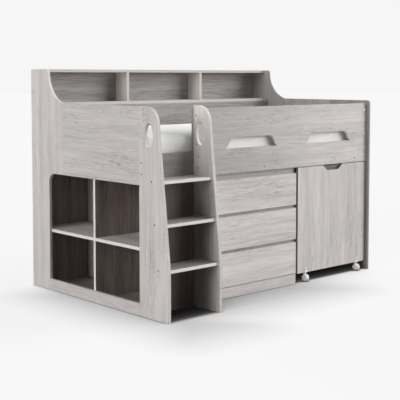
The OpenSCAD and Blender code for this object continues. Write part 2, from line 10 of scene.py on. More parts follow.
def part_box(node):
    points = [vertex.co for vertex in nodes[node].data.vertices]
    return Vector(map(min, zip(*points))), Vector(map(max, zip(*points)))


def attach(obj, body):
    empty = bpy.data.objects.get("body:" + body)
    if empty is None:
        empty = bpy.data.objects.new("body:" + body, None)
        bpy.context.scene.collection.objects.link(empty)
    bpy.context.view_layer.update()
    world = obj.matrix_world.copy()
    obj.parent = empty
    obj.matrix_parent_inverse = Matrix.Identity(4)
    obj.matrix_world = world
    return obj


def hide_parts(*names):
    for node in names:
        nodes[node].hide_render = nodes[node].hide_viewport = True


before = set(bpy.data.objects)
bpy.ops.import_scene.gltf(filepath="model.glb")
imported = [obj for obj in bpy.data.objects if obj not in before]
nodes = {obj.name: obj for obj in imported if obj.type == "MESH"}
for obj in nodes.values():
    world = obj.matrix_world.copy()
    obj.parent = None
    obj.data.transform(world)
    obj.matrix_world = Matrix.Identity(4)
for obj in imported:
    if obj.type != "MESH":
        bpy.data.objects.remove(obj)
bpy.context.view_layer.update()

MM = 0.001
X, Y, Z = Vector((1, 0, 0)), Vector((0, 1, 0)), Vector((0, 0, 1))

# Places of the part, in millimetres: outer faces, the inner faces of the stiles and of the right end
LEFT, RIGHT, FRONT, BACK, LADDER_FRONT = -990, 990, -465, 650, -665
STILE_INSIDE, LADDER_RIGHT, RIGHT_INSIDE = -611, -593, 972
PANEL_FRONT = FRONT + 20


def linear(colour, tone=1.0):
    """A linear RGBA colour from an sRGB hex value, times tone: one factor, or three for the channels."""
    parts = [int(colour[i:i + 2], 16) / 255 for i in (1, 3, 5)]
    parts = [c / 12.92 if c <= 0.04045 else ((c + 0.055) / 1.055) ** 2.4 for c in parts]
    return [c * t for c, t in zip(parts, tone if isinstance(tone, tuple) else (tone,) * 3)] + [1.0]


def add(material, kind, links=None, stops=None, **settings):
    """A shader node: its settings, a ramp's stops, and its inputs as values or as what feeds them.

    A stop is a place and an sRGB hex value, a linear colour or a level of grey.
    """
    made = material.node_tree.nodes.new("ShaderNode" + kind)
    for name, value in settings.items():
        setattr(made, name, value)
    for index, (place, colour) in enumerate(stops or []):
        elements = made.color_ramp.elements
        element = elements[index] if index < len(elements) else elements.new(place)
        element.position = place
        if isinstance(colour, str):
            colour = linear(colour)
        element.color = colour if isinstance(colour, list) else [colour] * 3 + [1.0]
    for key, value in (links or {}).items():
        if isinstance(value, bpy.types.Node):
            value = next(socket for socket in value.outputs if socket.enabled)
        if isinstance(value, bpy.types.NodeSocket):
            material.node_tree.links.new(value, made.inputs[key])
        else:
            made.inputs[key].default_value = value
    return made


def new_material(name):
    """A material of that name with an empty node tree."""
    material = bpy.data.materials.new(name)
    material.use_nodes = True
    material.node_tree.nodes.clear()
    return material


def finish_material(material, shader):
    """The material, with its output fed by the shader."""
    add(material, "OutputMaterial", {"Surface": shader})
    return material


# Grey oak foil: darker and paler parts of the print, the pores' colour and the edge bands
PRINT_DARK, PRINT_BOLD, PRINT_LIGHT, PORE = "#aaa4a1", "#827c79", "#d8d3d0", "#7b7571"
# DARK_BAND is partly the band's own colour and partly painted shade, for edges in gaps and recesses
PALE_BAND, POST_BAND, SOFT_BAND, DARK_BAND = "#dedad7", "#cbc6c3", "#b8b3b0", "#85817e"

# Layers of the print: waves to the metre along and over the grain, place in the noise, detail, roughness
PRINT_LAYERS = {
    "sway": (1.3, 5.0, 1.0, 0.5, 0.55),
    "bands": (0.5, 14.0, 4.0, 1.0, 0.55),
    "figure": (3.0, 85.0, 8.0, 3.0, 0.65),
    "hairs": (7.0, 240.0, 12.0, 2.0, 0.55),
    "patches": (2.2, 9.0, 16.0, 2.0, 0.55),
    "pores": (15.0, 190.0, 20.0, 2.5, 0.55),
    "rings": (3.5, 22.0, 28.0, 1.5, 0.55),
    "flames": (3.0, 9.0, 31.0, 1.0, 0.55)}
BOARD_STEP = 3.17           # from one board's place in the noise to the next one's
SWAY_WIDTH = 40 * MM        # the noise's whole range, of which the figure uses the middle
BANDS_SHARE, FIGURE_SHARE, HAIRS_SHARE, LEVEL_SHIFT = 0.7, 0.8, 0.8, -0.63
RINGS_IN_FLAME = 24.0       # year rings over the noise's whole range
PORE_DEPTH = 0.2 * MM


def oak_foil(name, grain, thin, seed, tone=1.0, dark=PRINT_DARK, band=None, painted_shades=()):
    """Paper foil printed as grey oak, pressed on chipboard, with an edge band on its narrow faces.

    The eye gets soft bands 70 mm wide, figure 12 mm apart that wanders along the grain, hairlines 4 mm
    apart, short dark pores in patches, and here and there a flame of thin year rings, one inside the
    other. The print is satin, and its marks are embossed.

    grain and thin are the numbers of the axes along the grain and through the board. tone darkens the
    whole board, and dark is the figure's darker colour. band is the edge band's colour, or the face's
    when left out. Each given shade is an axis, two places in millimetres and the ramp between them:
    painted shade that makes the print darker towards one end, and painted light where a ramp passes 1.
    The lightest of them holds.
    """
    material = new_material(name)
    place = add(material, "TexCoord")
    parts = add(material, "SeparateXYZ", {0: place.outputs["Object"]}).outputs
    wide = add(material, "Math", {0: parts[3 - grain - thin], 1: parts[thin]}, operation="ADD")

    def print_noise(layer, across=wide):
        """A layer of the print: noise drawn out along the grain."""
        along, over, offset, detail, rough = PRINT_LAYERS[layer]
        drawn = add(material, "CombineXYZ", {
            0: add(material, "Math", {0: parts[grain], 1: along}, operation="MULTIPLY"),
            1: add(material, "Math", {0: across, 1: over}, operation="MULTIPLY"),
            2: seed * BOARD_STEP + offset})
        return add(material, "TexNoise", {
            "Vector": drawn, "Scale": 1.0, "Detail": detail, "Roughness": rough})

    # Bands, figure and hairlines together give the print's level between its darker and paler colour
    sway = add(material, "Math", {0: print_noise("sway"), 1: SWAY_WIDTH}, operation="MULTIPLY")
    swayed = add(material, "Math", {0: wide, 1: sway}, operation="ADD")
    figure = print_noise("figure", swayed)
    level = LEVEL_SHIFT
    for layer, share in ((print_noise("bands", swayed), BANDS_SHARE), (figure, FIGURE_SHARE),
                         (print_noise("hairs", swayed), HAIRS_SHARE)):
        level = add(material, "Math", {0: layer, 1: share, 2: level}, operation="MULTIPLY_ADD")
    colour = add(material, "ValToRGB", {"Fac": level}, stops=[
        (0.1, linear(dark, tone)), (0.8, linear(PRINT_LIGHT, tone))])

    # Pores lie in patches, as where a saw runs out through the rings. Flames show the rings themselves
    patches = add(material, "ValToRGB", {"Fac": print_noise("patches")}, stops=[(0.5, 0.1), (0.62, 1.0)])
    pores = add(material, "ValToRGB", {"Fac": print_noise("pores", swayed)}, stops=[(0.56, 0.0), (0.7, 0.7)])
    flames = add(material, "ValToRGB", {"Fac": print_noise("flames")}, stops=[(0.56, 0.0), (0.66, 1.0)])
    rings = add(material, "Math", {0: print_noise("rings"), 1: RINGS_IN_FLAME}, operation="MULTIPLY")
    rings = add(material, "ValToRGB", {"Fac": add(material, "Math", {0: rings}, operation="FRACT")}, stops=[
        (0.0, 0.55), (0.25, 0.0), (0.9, 0.0), (1.0, 0.55)])
    rings = add(material, "Math", {0: rings, 1: flames}, operation="MULTIPLY")
    marks = add(material, "Math", {0: pores, 1: patches, 2: rings}, operation="MULTIPLY_ADD", use_clamp=True)
    colour = add(material, "Mix", {0: marks, 6: colour, 7: linear(PORE, tone)}, data_type="RGBA")

    if band:
        facing = add(material, "SeparateXYZ", {0: place.outputs["Normal"]}).outputs[thin]
        facing = add(material, "Math", {0: facing}, operation="ABSOLUTE")
        narrow = add(material, "Math", {0: facing, 1: 0.5}, operation="LESS_THAN")
        strip = add(material, "ValToRGB", {"Fac": figure}, stops=[
            (0.3, linear(band, 0.93)), (0.7, linear(band))])
        colour = add(material, "Mix", {0: narrow, 6: colour, 7: strip}, data_type="RGBA")
    # Painted shade: ramps along the board that darken its print towards one end
    painted_shade = None
    for axis, start, end, stops in painted_shades:
        along = add(material, "MapRange", {
            "Value": parts[axis], "From Min": start * MM, "From Max": end * MM})
        ramp = add(material, "ValToRGB", {"Fac": along}, stops=stops)
        painted_shade = ramp if painted_shade is None else add(material, "Mix", {0: 1.0, 6: painted_shade, 7: ramp}, data_type="RGBA",
                                             blend_type="LIGHTEN")
    if painted_shade:
        colour = add(material, "Mix", {0: 1.0, 6: colour, 7: painted_shade}, data_type="RGBA", blend_type="MULTIPLY")

    relief = add(material, "Bump", {"Height": marks, "Strength": 0.3, "Distance": PORE_DEPTH}, invert=True)
    gloss = add(material, "MapRange", {
        "Value": figure, "From Min": 0.3, "From Max": 0.7, "To Min": 0.6, "To Max": 0.7})
    return finish_material(material, add(material, "BsdfPrincipled", {
        "Base Color": colour, "Roughness": gloss, "Normal": relief}))


# Waves to the metre: pine's rings along the grain, over the face and through it, then single patterns
PINE_WAVES = (1.5, 90.0, 40.0)
FLUFF_WAVES, SOILING_WAVES, FLOW_WAVES, STEEL_WAVES = 320.0, 5.0, 30.0, 900.0


def planed_pine(name, grain):
    """Planed softwood: warm pale wood, brown summer rings about 11 mm apart, a smooth dull face."""
    material = new_material(name)
    parts = add(material, "SeparateXYZ", {0: add(material, "TexCoord").outputs["Object"]}).outputs
    drawn = add(material, "CombineXYZ", {
        key: add(material, "Math", {0: parts[axis], 1: waves}, operation="MULTIPLY")
        for key, (axis, waves) in enumerate(zip((grain, 1 - grain, 2), PINE_WAVES))})
    rings = add(material, "TexNoise", {"Vector": drawn, "Scale": 1.0, "Detail": 2.0})
    colour = add(material, "ValToRGB", {"Fac": rings}, stops=[
        (0.35, "#e3c99c"), (0.55, "#d8b883"), (0.68, "#b98f58")])
    relief = add(material, "Bump", {"Height": rings, "Strength": 0.2, "Distance": 0.2 * MM})
    return finish_material(material, add(material, "BsdfPrincipled", {
        "Base Color": colour, "Roughness": 0.55, "Normal": relief}))


# Ribs of the knit and threads of the linen, as scales of a wave texture. Its waves are 0.314 m / scale
# apart along an axis, and 0.444 m / scale apart on a face that they cross diagonally
RIB_SCALE, THREAD_SCALE = 125 / math.pi, 250 / math.pi
LOWER_SEAM, UPPER_SEAM, SEAM_HALF = 15 * MM, 20 * MM, 1.5 * MM


def knitted_ticking(low, high):
    """White polyester knit over foam: diagonal ribs 11 mm apart, soft and without gloss, two seams.

    low and high are the levels of the mattress's faces. The seams show as grooves 3 mm wide near them.
    Painted shade darkens the valleys between the ribs and the seams' grooves.
    """
    material = new_material("knitted_ticking")
    place = add(material, "TexCoord").outputs["Object"]
    rib = add(material, "TexWave", {
        "Vector": place, "Scale": RIB_SCALE, "Distortion": 1.2, "Detail": 1.0},
        wave_type="BANDS", bands_direction="DIAGONAL")
    fluff = add(material, "TexNoise", {"Vector": place, "Scale": FLUFF_WAVES, "Detail": 3.0})
    soiling = add(material, "TexNoise", {"Vector": place, "Scale": SOILING_WAVES, "Detail": 2.0})
    colour = add(material, "ValToRGB", {"Fac": soiling}, stops=[(0.3, "#fcfcfb"), (0.7, "#f6f6f5")])
    # painted shade in the valleys between the ribs
    rib_valley_shade = add(material, "ValToRGB", {"Fac": rib}, stops=[(0.0, 0.15), (0.4, 0.0)])
    colour = add(material, "Mix", {0: rib_valley_shade, 6: colour, 7: linear("#dcdcdd")}, data_type="RGBA")
    level = add(material, "SeparateXYZ", {0: place}).outputs[2]
    height = add(material, "Math", {0: fluff, 1: 0.6, 2: rib}, operation="MULTIPLY_ADD")
    # each seam is a groove in the relief, with painted shade in it
    for seam in (low + LOWER_SEAM, high - UPPER_SEAM):
        groove = add(material, "Math", {0: level, 1: seam, 2: SEAM_HALF}, operation="COMPARE")
        height = add(material, "Math", {0: groove, 1: -3.0, 2: height}, operation="MULTIPLY_ADD")
        colour = add(material, "Mix", {0: groove, 6: colour, 7: linear("#e6e5e4")}, data_type="RGBA")
    relief = add(material, "Bump", {"Height": height, "Strength": 0.35, "Distance": 0.5 * MM})
    return finish_material(material, add(material, "BsdfPrincipled", {
        "Base Color": colour, "Roughness": 0.92, "Sheen Weight": 0.2, "Sheen Roughness": 0.5,
        "Normal": relief}))


def moulded_plastic(name, colour, rough, grit):
    """Injection moulded plastic, or powder coat: even colour, faint flow marks 33 mm apart, a fine skin.

    grit is the size of the skin's grain in millimetres.
    """
    material = new_material(name)
    place = add(material, "TexCoord").outputs["Object"]
    skin = add(material, "TexNoise", {"Vector": place, "Scale": 1 / (grit * MM), "Detail": 3.0})
    flow = add(material, "TexNoise", {"Vector": place, "Scale": FLOW_WAVES, "Detail": 1.0})
    tint = add(material, "ValToRGB", {"Fac": flow}, stops=[(0.3, colour), (0.7, linear(colour, 0.9))])
    relief = add(material, "Bump", {"Height": skin, "Strength": 0.12, "Distance": 0.1 * MM})
    gloss = add(material, "MapRange", {
        "Value": skin, "From Min": 0.3, "From Max": 0.7, "To Min": rough - 0.06, "To Max": rough + 0.08})
    return finish_material(material, add(material, "BsdfPrincipled", {
        "Base Color": tint, "Roughness": gloss, "Normal": relief}))


BLACKENED = "#3b3937"


def blackened_steel(name):
    """Blackened steel: dark metal whose light breaks up on marks 1 mm apart."""
    material = new_material(name)
    place = add(material, "TexCoord").outputs["Object"]
    ridges = add(material, "TexNoise", {"Vector": place, "Scale": STEEL_WAVES, "Detail": 2.0})
    tint = add(material, "ValToRGB", {"Fac": ridges}, stops=[
        (0.35, BLACKENED), (0.7, linear(BLACKENED, 0.75))])
    relief = add(material, "Bump", {"Height": ridges, "Strength": 0.1, "Distance": 0.05 * MM})
    return finish_material(material, add(material, "BsdfPrincipled", {
        "Base Color": tint, "Metallic": 1.0, "Roughness": 0.45, "Normal": relief}))


def linen_foil(name):
    """Pale grey foil of drawer boxes, printed with a linen of threads 4 mm apart."""
    material = new_material(name)
    place = add(material, "TexCoord").outputs["Object"]
    weave = None
    for direction in "XYZ":
        threads = add(material, "TexWave", {
            "Vector": place, "Scale": THREAD_SCALE, "Distortion": 2.0, "Detail": 2.0},
            wave_type="BANDS", bands_direction=direction)
        weave = threads if weave is None else add(material, "Math", {0: weave, 1: threads}, operation="ADD")
    level = add(material, "Math", {0: weave, 1: 1 / 3}, operation="MULTIPLY")
    colour = add(material, "ValToRGB", {"Fac": level}, stops=[(0.2, "#c5c2bf"), (0.8, "#d6d3d0")])
    relief = add(material, "Bump", {"Height": weave, "Strength": 0.15, "Distance": 0.1 * MM})
    return finish_material(material, add(material, "BsdfPrincipled", {
        "Base Color": colour, "Roughness": 0.6, "Normal": relief}))


SHARP = math.radians(35)        # edges that turn more than this stay sharp


def piece(name, bm, material, body, replaced=()):
    """An object of the scene with its material, body and the nodes that it stands for."""
    mesh = bpy.data.meshes.new(name)
    bm.to_mesh(mesh)
    bm.free()
    mesh.polygons.foreach_set("use_smooth", [True] * len(mesh.polygons))
    mesh.set_sharp_from_angle(angle=SHARP)
    made = bpy.data.objects.new(name, mesh)
    bpy.context.scene.collection.objects.link(made)
    mesh.materials.append(material)
    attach(made, body)
    if replaced:
        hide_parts(*replaced)
    return made


def dress(name, material):
    """Gives a CAD node its material."""
    mesh = nodes[name].data
    mesh.materials.clear()
    mesh.materials.append(material)


# How boards differ from plain foil: edge bands, a bolder figure, and tones. The inside of the store, its
# front side behind the ladder, the back guard, the bookcase's back, the treads and the rails between the
# drawers are darker than the rest. Some have a bolder figure in their print, and the rest of their
# darkness is painted shade for the shadow that falls on them
ALONG_X, ALONG_Y, ALONG_Z = 0, 1, 2
# DARK_EDGE is a darker edge band: partly the band's own colour, and partly painted shade for edges that stand
# in gaps and recesses, as those of the chest and the desk do
PALE_EDGE, DARK_EDGE, SOFT_EDGE = {"band": PALE_BAND}, {"band": DARK_BAND}, {"band": SOFT_BAND}
BOLD = {"dark": PRINT_BOLD}
# Painted shade, tinted warm, for the boards inside the store
CELL_SHADE = {"tone": (0.5, 0.43, 0.41), **BOLD}
# The store's rear side has painted shade, darkest inside, and is plain on the face that looks to the wall
REAR_CELL_SHADE = [0.37, 0.31, 0.295, 1.0]
REAR_INSIDE, REAR_OUTSIDE = [corner.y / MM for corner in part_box("store_side_rear")]
# The right end shows its inner face above the mattress, which has painted shade that makes it darker than its
# outer face
RIGHT_END_SHADE = {**DARK_EDGE, "painted_shades": [(0, RIGHT_INSIDE, RIGHT, [(0.0, 0.45), (0.9, 0.45), (0.95, 0.72)])]}
# Its front edge and inner face have painted shade, darker towards the desk, where the desk stands close
# beside it
RIGHT_FRONT_SHADE = {**DARK_EDGE, "painted_shades": [(0, RIGHT_INSIDE, RIGHT, [
    (0.0, 0.35), (0.06, 0.6), (0.5, 1.0), (0.93, 1.5), (0.95, 0.72)])]}
# The right stile's face towards the ladder has painted shade: darker low down, most of all at the back
STILE_DARK_BELOW, STILE_PALE_ABOVE = 500, 800
STILE_SHADE = {"painted_shades": [
    (0, STILE_INSIDE, LADDER_RIGHT, [(0.0, 0.0), (0.04, 0.0), (0.08, 1.0)]),
    (1, PANEL_FRONT, LADDER_FRONT + 20, [(0.0, 0.3), (0.6, 0.4), (0.85, 0.75), (1.0, 1.0)]),
    (2, STILE_DARK_BELOW, STILE_PALE_ABOVE, [(0.0, 0.3), (1.0, 1.0)])]}

# The front guard has painted shade, darker to the left, where it is seen behind the ladder, and painted light
# a little paler than plain at its right end
GUARD_SHADE = {"painted_shades": [(0, LEFT, RIGHT, [
    (0.0, 0.38), (0.19, 0.4), (0.2, 0.6), (0.45, 0.78), (0.7, 0.97), (1.0, 1.07)])]}

# Each board's grain and thin side by axis number, and its finish. A board's place in this list is the
# seed of its print
# A tone under 1 in this table is painted shade, and one over 1 is painted light
BOARDS = {
    "left_back_post": (ALONG_Z, 0, {"tone": 0.95, "band": POST_BAND}),
    "left_top_rail": (ALONG_Y, 0, {"tone": 0.87, **DARK_EDGE}),
    "left_bottom_rail": (ALONG_Y, 0, {"tone": 0.95}),
    "ladder_stile_left": (ALONG_Z, 0, {"tone": 0.95}),
    "ladder_stile_right": (ALONG_Z, 0, STILE_SHADE),
    # painted shade: the lower treads lie in the shadow of those above
    "tread_bottom": (ALONG_X, 2, {"tone": 0.45, **PALE_EDGE}),
    "tread_middle": (ALONG_X, 2, {"tone": 0.5, **PALE_EDGE}),
    "tread_top": (ALONG_X, 2, {"tone": 0.75, **PALE_EDGE}),
    "right_back_post": (ALONG_Z, 0, RIGHT_END_SHADE),
    "right_middle_panel": (ALONG_Z, 0, RIGHT_END_SHADE),
    "right_front_post": (ALONG_Z, 0, RIGHT_FRONT_SHADE),
    "front_guard": (ALONG_X, 1, GUARD_SHADE),
    "back_guard": (ALONG_X, 1, {"tone": 0.5, **BOLD, "band": SOFT_BAND}),
    "back_bottom_rail": (ALONG_X, 1, {}),
    "bookcase_top": (ALONG_X, 2, SOFT_EDGE),
    "bookcase_shelf": (ALONG_X, 2, SOFT_EDGE),
    # painted light on the bookcase's dividers
    "bookcase_dividers": (ALONG_Z, 0, {"tone": 1.12, **SOFT_EDGE}),
    "bookcase_back": (ALONG_X, 1, {"tone": 0.58, **BOLD}),
    # painted shade: the store's front side lies in shadow behind the ladder
    "store_side_front": (ALONG_Z, 1, {"tone": (0.2, 0.155, 0.148), **BOLD}),
    "store_side_rear": (ALONG_Z, 1, {**BOLD, "painted_shades": [
        (1, REAR_INSIDE, REAR_OUTSIDE, [(0.0, REAR_CELL_SHADE), (0.9, REAR_CELL_SHADE), (0.95, 1.0)])]}),
    "store_divider": (ALONG_Z, 1, {**CELL_SHADE, **PALE_EDGE}),
    "store_shelves": (ALONG_Y, 2, PALE_EDGE),
    "store_top": (ALONG_Y, 2, CELL_SHADE),
    "store_base": (ALONG_Y, 2, CELL_SHADE),
    "store_back": (ALONG_Z, 0, {}),
    "chest_sides": (ALONG_Z, 0, DARK_EDGE),
    "chest_top": (ALONG_X, 2, DARK_EDGE),
    "chest_back": (ALONG_X, 1, {}),
    # painted shade: the rails lie in the gaps between the drawers, and the plinth by the floor
    "chest_rails": (ALONG_X, 2, {"tone": 0.6}),
    "chest_plinth": (ALONG_X, 1, {"tone": 0.88}),
    # painted light on the drawer fronts
    "drawer_bottom_front": (ALONG_X, 1, {"tone": 1.05}),
    "drawer_middle_front": (ALONG_X, 1, {"tone": 1.05}),
    "drawer_top_front": (ALONG_X, 1, {"tone": 1.05}),
    "desk_front": (ALONG_Z, 1, DARK_EDGE),
    "desk_rear": (ALONG_Z, 1, DARK_EDGE),
    "desk_top": (ALONG_X, 2, DARK_EDGE),
    "desk_stretcher": (ALONG_Y, 0, {}),
}
for seed, (name, (grain, thin, finish)) in enumerate(BOARDS.items()):
    dress(name, oak_foil("grey_oak_foil_" + name, grain, thin, seed, **finish))

linen = linen_foil("linen_foil_drawers")
for level in ("bottom", "middle", "top"):
    dress(f"drawer_{level}_box", linen)
    dress(f"drawer_{level}_base", linen)
dress("slats", planed_pine("planed_pine_slats", ALONG_Y))
dress("slat_battens", planed_pine("planed_pine_battens", ALONG_X))
dress("chest_runners", moulded_plastic("polypropylene_runners", "#e6e6e4", 0.45, 0.6))
white_abs = moulded_plastic("abs_castors", "#fbfbfa", 0.25, 0.8)
dress("castor_brackets", moulded_plastic("powder_coat_brackets", "#ececea", 0.4, 0.5))
for i in range(1, 5):
    dress(f"castor_hood_{i}", white_abs)
    dress(f"castor_wheels_{i}", white_abs)
blackened = blackened_steel("blackened_steel_screws")


TURN_STEPS = 24


def turned(profile, socket=None):
    """A shape turned round Z from points of radius and height in millimetres.

    Points at the radius named by socket are moved out on to a hexagon that measures twice that
    across its flats, with a sixth of the steps to each side.
    """
    bm = bmesh.new()
    verts = [bm.verts.new((radius * MM, 0, height * MM)) for radius, height in profile]
    edges = [bm.edges.new(pair) for pair in zip(verts, verts[1:])]
    bmesh.ops.spin(bm, geom=verts + edges, cent=(0, 0, 0), axis=Z, steps=TURN_STEPS, angle=math.tau,
                   use_merge=True)
    bmesh.ops.remove_doubles(bm, verts=bm.verts, dist=0.001 * MM)
    for vert in bm.verts:
        if socket and abs(vert.co.xy.length - socket * MM) < 0.01 * MM:
            turn = math.atan2(vert.co.y, vert.co.x) % math.radians(60) - math.radians(30)
            vert.co.xy = vert.co.xy / math.cos(turn)
    bmesh.ops.recalc_face_normals(bm, faces=bm.faces)
    return bm


def gathered(shapes):
    """One mesh of small shapes, each made round Z and given with its place and the way that it looks."""
    whole = bmesh.new()
    for shape, place, way in shapes:
        turn = Z.rotation_difference(way).to_matrix().to_4x4()
        bmesh.ops.transform(shape, matrix=Matrix.Translation(place) @ turn, verts=shape.verts)
        mesh = bpy.data.meshes.new("shape")
        shape.to_mesh(mesh)
        shape.free()
        whole.from_mesh(mesh)
        bpy.data.meshes.remove(mesh)
    return whole


def loose_solids(name):
    """The points of each separate solid of a CAD node, from a merged copy of its mesh."""
    bm = bmesh.new()
    bm.from_mesh(nodes[name].data)
    bmesh.ops.remove_doubles(bm, verts=bm.verts, dist=0.01 * MM)
    left = set(bm.verts)
    while left:
        solid, edge_of_solid = [], [left.pop()]
        while edge_of_solid:
            vert = edge_of_solid.pop()
            solid.append(vert.co.copy())
            near = {edge.other_vert(vert) for edge in vert.link_edges} & left
            left -= near
            edge_of_solid.extend(near)
        yield solid
    bm.free()


def frame_screws():
    """Blackened screws with hexagon sockets, their heads 0.3 mm under the faces of the boards.

    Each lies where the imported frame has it. Its head is the end where the solid is wider.
    """
    head, shank, hexagon = 4.9, 3.0, 2.3                    # radii, the last to the hexagon's flats
    recess, socket_floor, underside, tip = 0.3, 2.7, 2.9, 4.0   # depths, and the tip's length
    not_shank = 4 * MM                                      # between the radii of shank and head
    shapes = []
    for points in loose_solids("frame_screws"):
        low = Vector([min(p[i] for p in points) for i in range(3)])
        high = Vector([max(p[i] for p in points) for i in range(3)])
        axis = max(range(3), key=lambda i: high[i] - low[i])
        way = Vector([float(i == axis) for i in range(3)])
        middle = (low + high) / 2
        wide = [p[axis] - middle[axis] for p in points
                if (p - middle - way * (p - middle)[axis]).length > not_shank]
        out = way if sum(wide) > 0 else -way
        length = (high[axis] - low[axis]) / MM
        profile = [(0, -socket_floor), (hexagon, -socket_floor), (hexagon, -recess), (head - 0.5, -recess),
                   (head, -recess - 0.4), (head, -underside), (shank, -underside - head + shank),
                   (shank, tip - length), (0, -length)]
        shapes.append((turned(profile, socket=hexagon), middle + out * (high[axis] - low[axis]) / 2, out))
    piece("frame_screws_socket_heads", gathered(shapes), blackened, "bed_frame",
          ["frame_screws"])


# Flat bolts: the head's profile round its hexagon, and their places as depth and level on two inner faces
BOLT_HEXAGON = 1.5
FLAT_BOLT = [(0, -0.4), (BOLT_HEXAGON, -0.4), (BOLT_HEXAGON, 0.5), (3.8, 0.5), (4.5, 0.2), (4.5, -1.0),
             (0, -1.0)]
STILE_BOLTS = ((-465, 1103), (-465, 937), (-485, 867), (-485, 804))
END_BOLTS = ((316, 1133), (273, 1133), (-254, 1138))


def panel_bolts():
    """Flat blackened bolts on the inner faces of the right stile and of the right end, 0.5 mm proud."""
    places = [Vector((STILE_INSIDE, *place)) * MM for place in STILE_BOLTS]
    places += [Vector((RIGHT_INSIDE, *place)) * MM for place in END_BOLTS]
    piece("panel_bolts", gathered([(turned(FLAT_BOLT, socket=BOLT_HEXAGON), place, -X) for place in places]),
          blackened, "bed_frame")


def bracket_screws():
    """One blackened screw through the tab of each castor bracket, over the middle of its castor."""
    below_rim = 8 * MM
    low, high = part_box("castor_brackets")
    shapes = []
    for number in range(1, 5):
        hood_low, hood_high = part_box(f"castor_hood_{number}")
        front = hood_low.y < 0
        place = Vector(((hood_low.x + hood_high.x) / 2, low.y if front else high.y, high.z - below_rim))
        shapes.append((turned(FLAT_BOLT, socket=BOLT_HEXAGON), place, -Y if front else Y))
    piece("bracket_screws", gathered(shapes), blackened, "desk")


def axle_plugs():
    """A domed plug over each end of a castor's axle, 9 mm across, in the plastic of the wheels."""
    profile = [(0, 0.9), (2.4, 0.7), (4.0, 0.1), (4.5, -0.8), (4.5, -2.5), (0, -2.5)]
    for number in range(1, 5):
        low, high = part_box(f"castor_wheels_{number}")
        middle = (low + high) / 2
        ends = ((low.x, -X), (high.x, X))
        shapes = [(turned(profile), Vector((at, middle.y, middle.z)), way) for at, way in ends]
        piece(f"axle_plugs_{number}", gathered(shapes), white_abs, f"castor_roll_{number}")


def handle_backing():
    """A strip of grey hardboard behind the desk's handle cut-out, that keeps dust off the desk's top."""
    width, thick, below_edge, rounding = 260 * MM, 3 * MM, 4 * MM, 0.4 * MM
    seed = 40       # past those of the boards
    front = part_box("desk_front")[1].y
    top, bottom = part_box("desk_front")[1].z - below_edge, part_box("desk_top")[1].z
    middle = (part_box("desk_front")[0].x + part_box("desk_front")[1].x) / 2
    bm = bmesh.new()
    bmesh.ops.create_cube(bm, size=1.0)
    bmesh.ops.scale(bm, vec=(width, thick, top - bottom), verts=bm.verts)
    bmesh.ops.translate(bm, vec=(middle, front + thick / 2, (top + bottom) / 2), verts=bm.verts)
    bmesh.ops.bevel(bm, geom=bm.edges[:], offset=rounding, offset_type="OFFSET", segments=2, profile=0.5,
                    affect="EDGES", material=-1)
    piece("handle_backing", bm, oak_foil("grey_hardboard_handle_backing", ALONG_X, 1, seed, tone=0.2), "desk")


def guard_caps():
    """Two domed white caps, 17 mm across and 2.5 mm proud, over the bolts at the guard's right end."""
    across, levels = 952, (938, 1098)
    profile = [(0, 2.5), (4.0, 2.4), (6.5, 1.8), (8.1, 0.9), (8.5, 0.0), (8.5, -0.5), (0, -0.5)]
    places = [Vector((across, PANEL_FRONT, z)) * MM for z in levels]
    piece("guard_bolt_caps", gathered([(turned(profile), place, -Y) for place in places]),
          white_abs, "bed_frame")


def settle(made):
    """Puts the result of a piece's modifiers into its mesh and takes them off."""
    evaluated = made.evaluated_get(bpy.context.evaluated_depsgraph_get())
    mesh = bpy.data.meshes.new_from_object(evaluated)
    made.modifiers.clear()
    made.data = mesh


# The mattress before its cover swells: how far it is inside its box, and its rounded corners and rims
MATTRESS_INSIDE, MATTRESS_CORNER, MATTRESS_RIM = Vector((5, 5, 4)) * MM, 55 * MM, 12 * MM
# Then how far a point may move, the mesh's step, the pressure in the cover and the steps of simulation
MATTRESS_MOST, MATTRESS_VOXEL, COVER_PRESSURE, COVER_STEPS = 7 * MM, 15.5 * MM, 4.0, 20


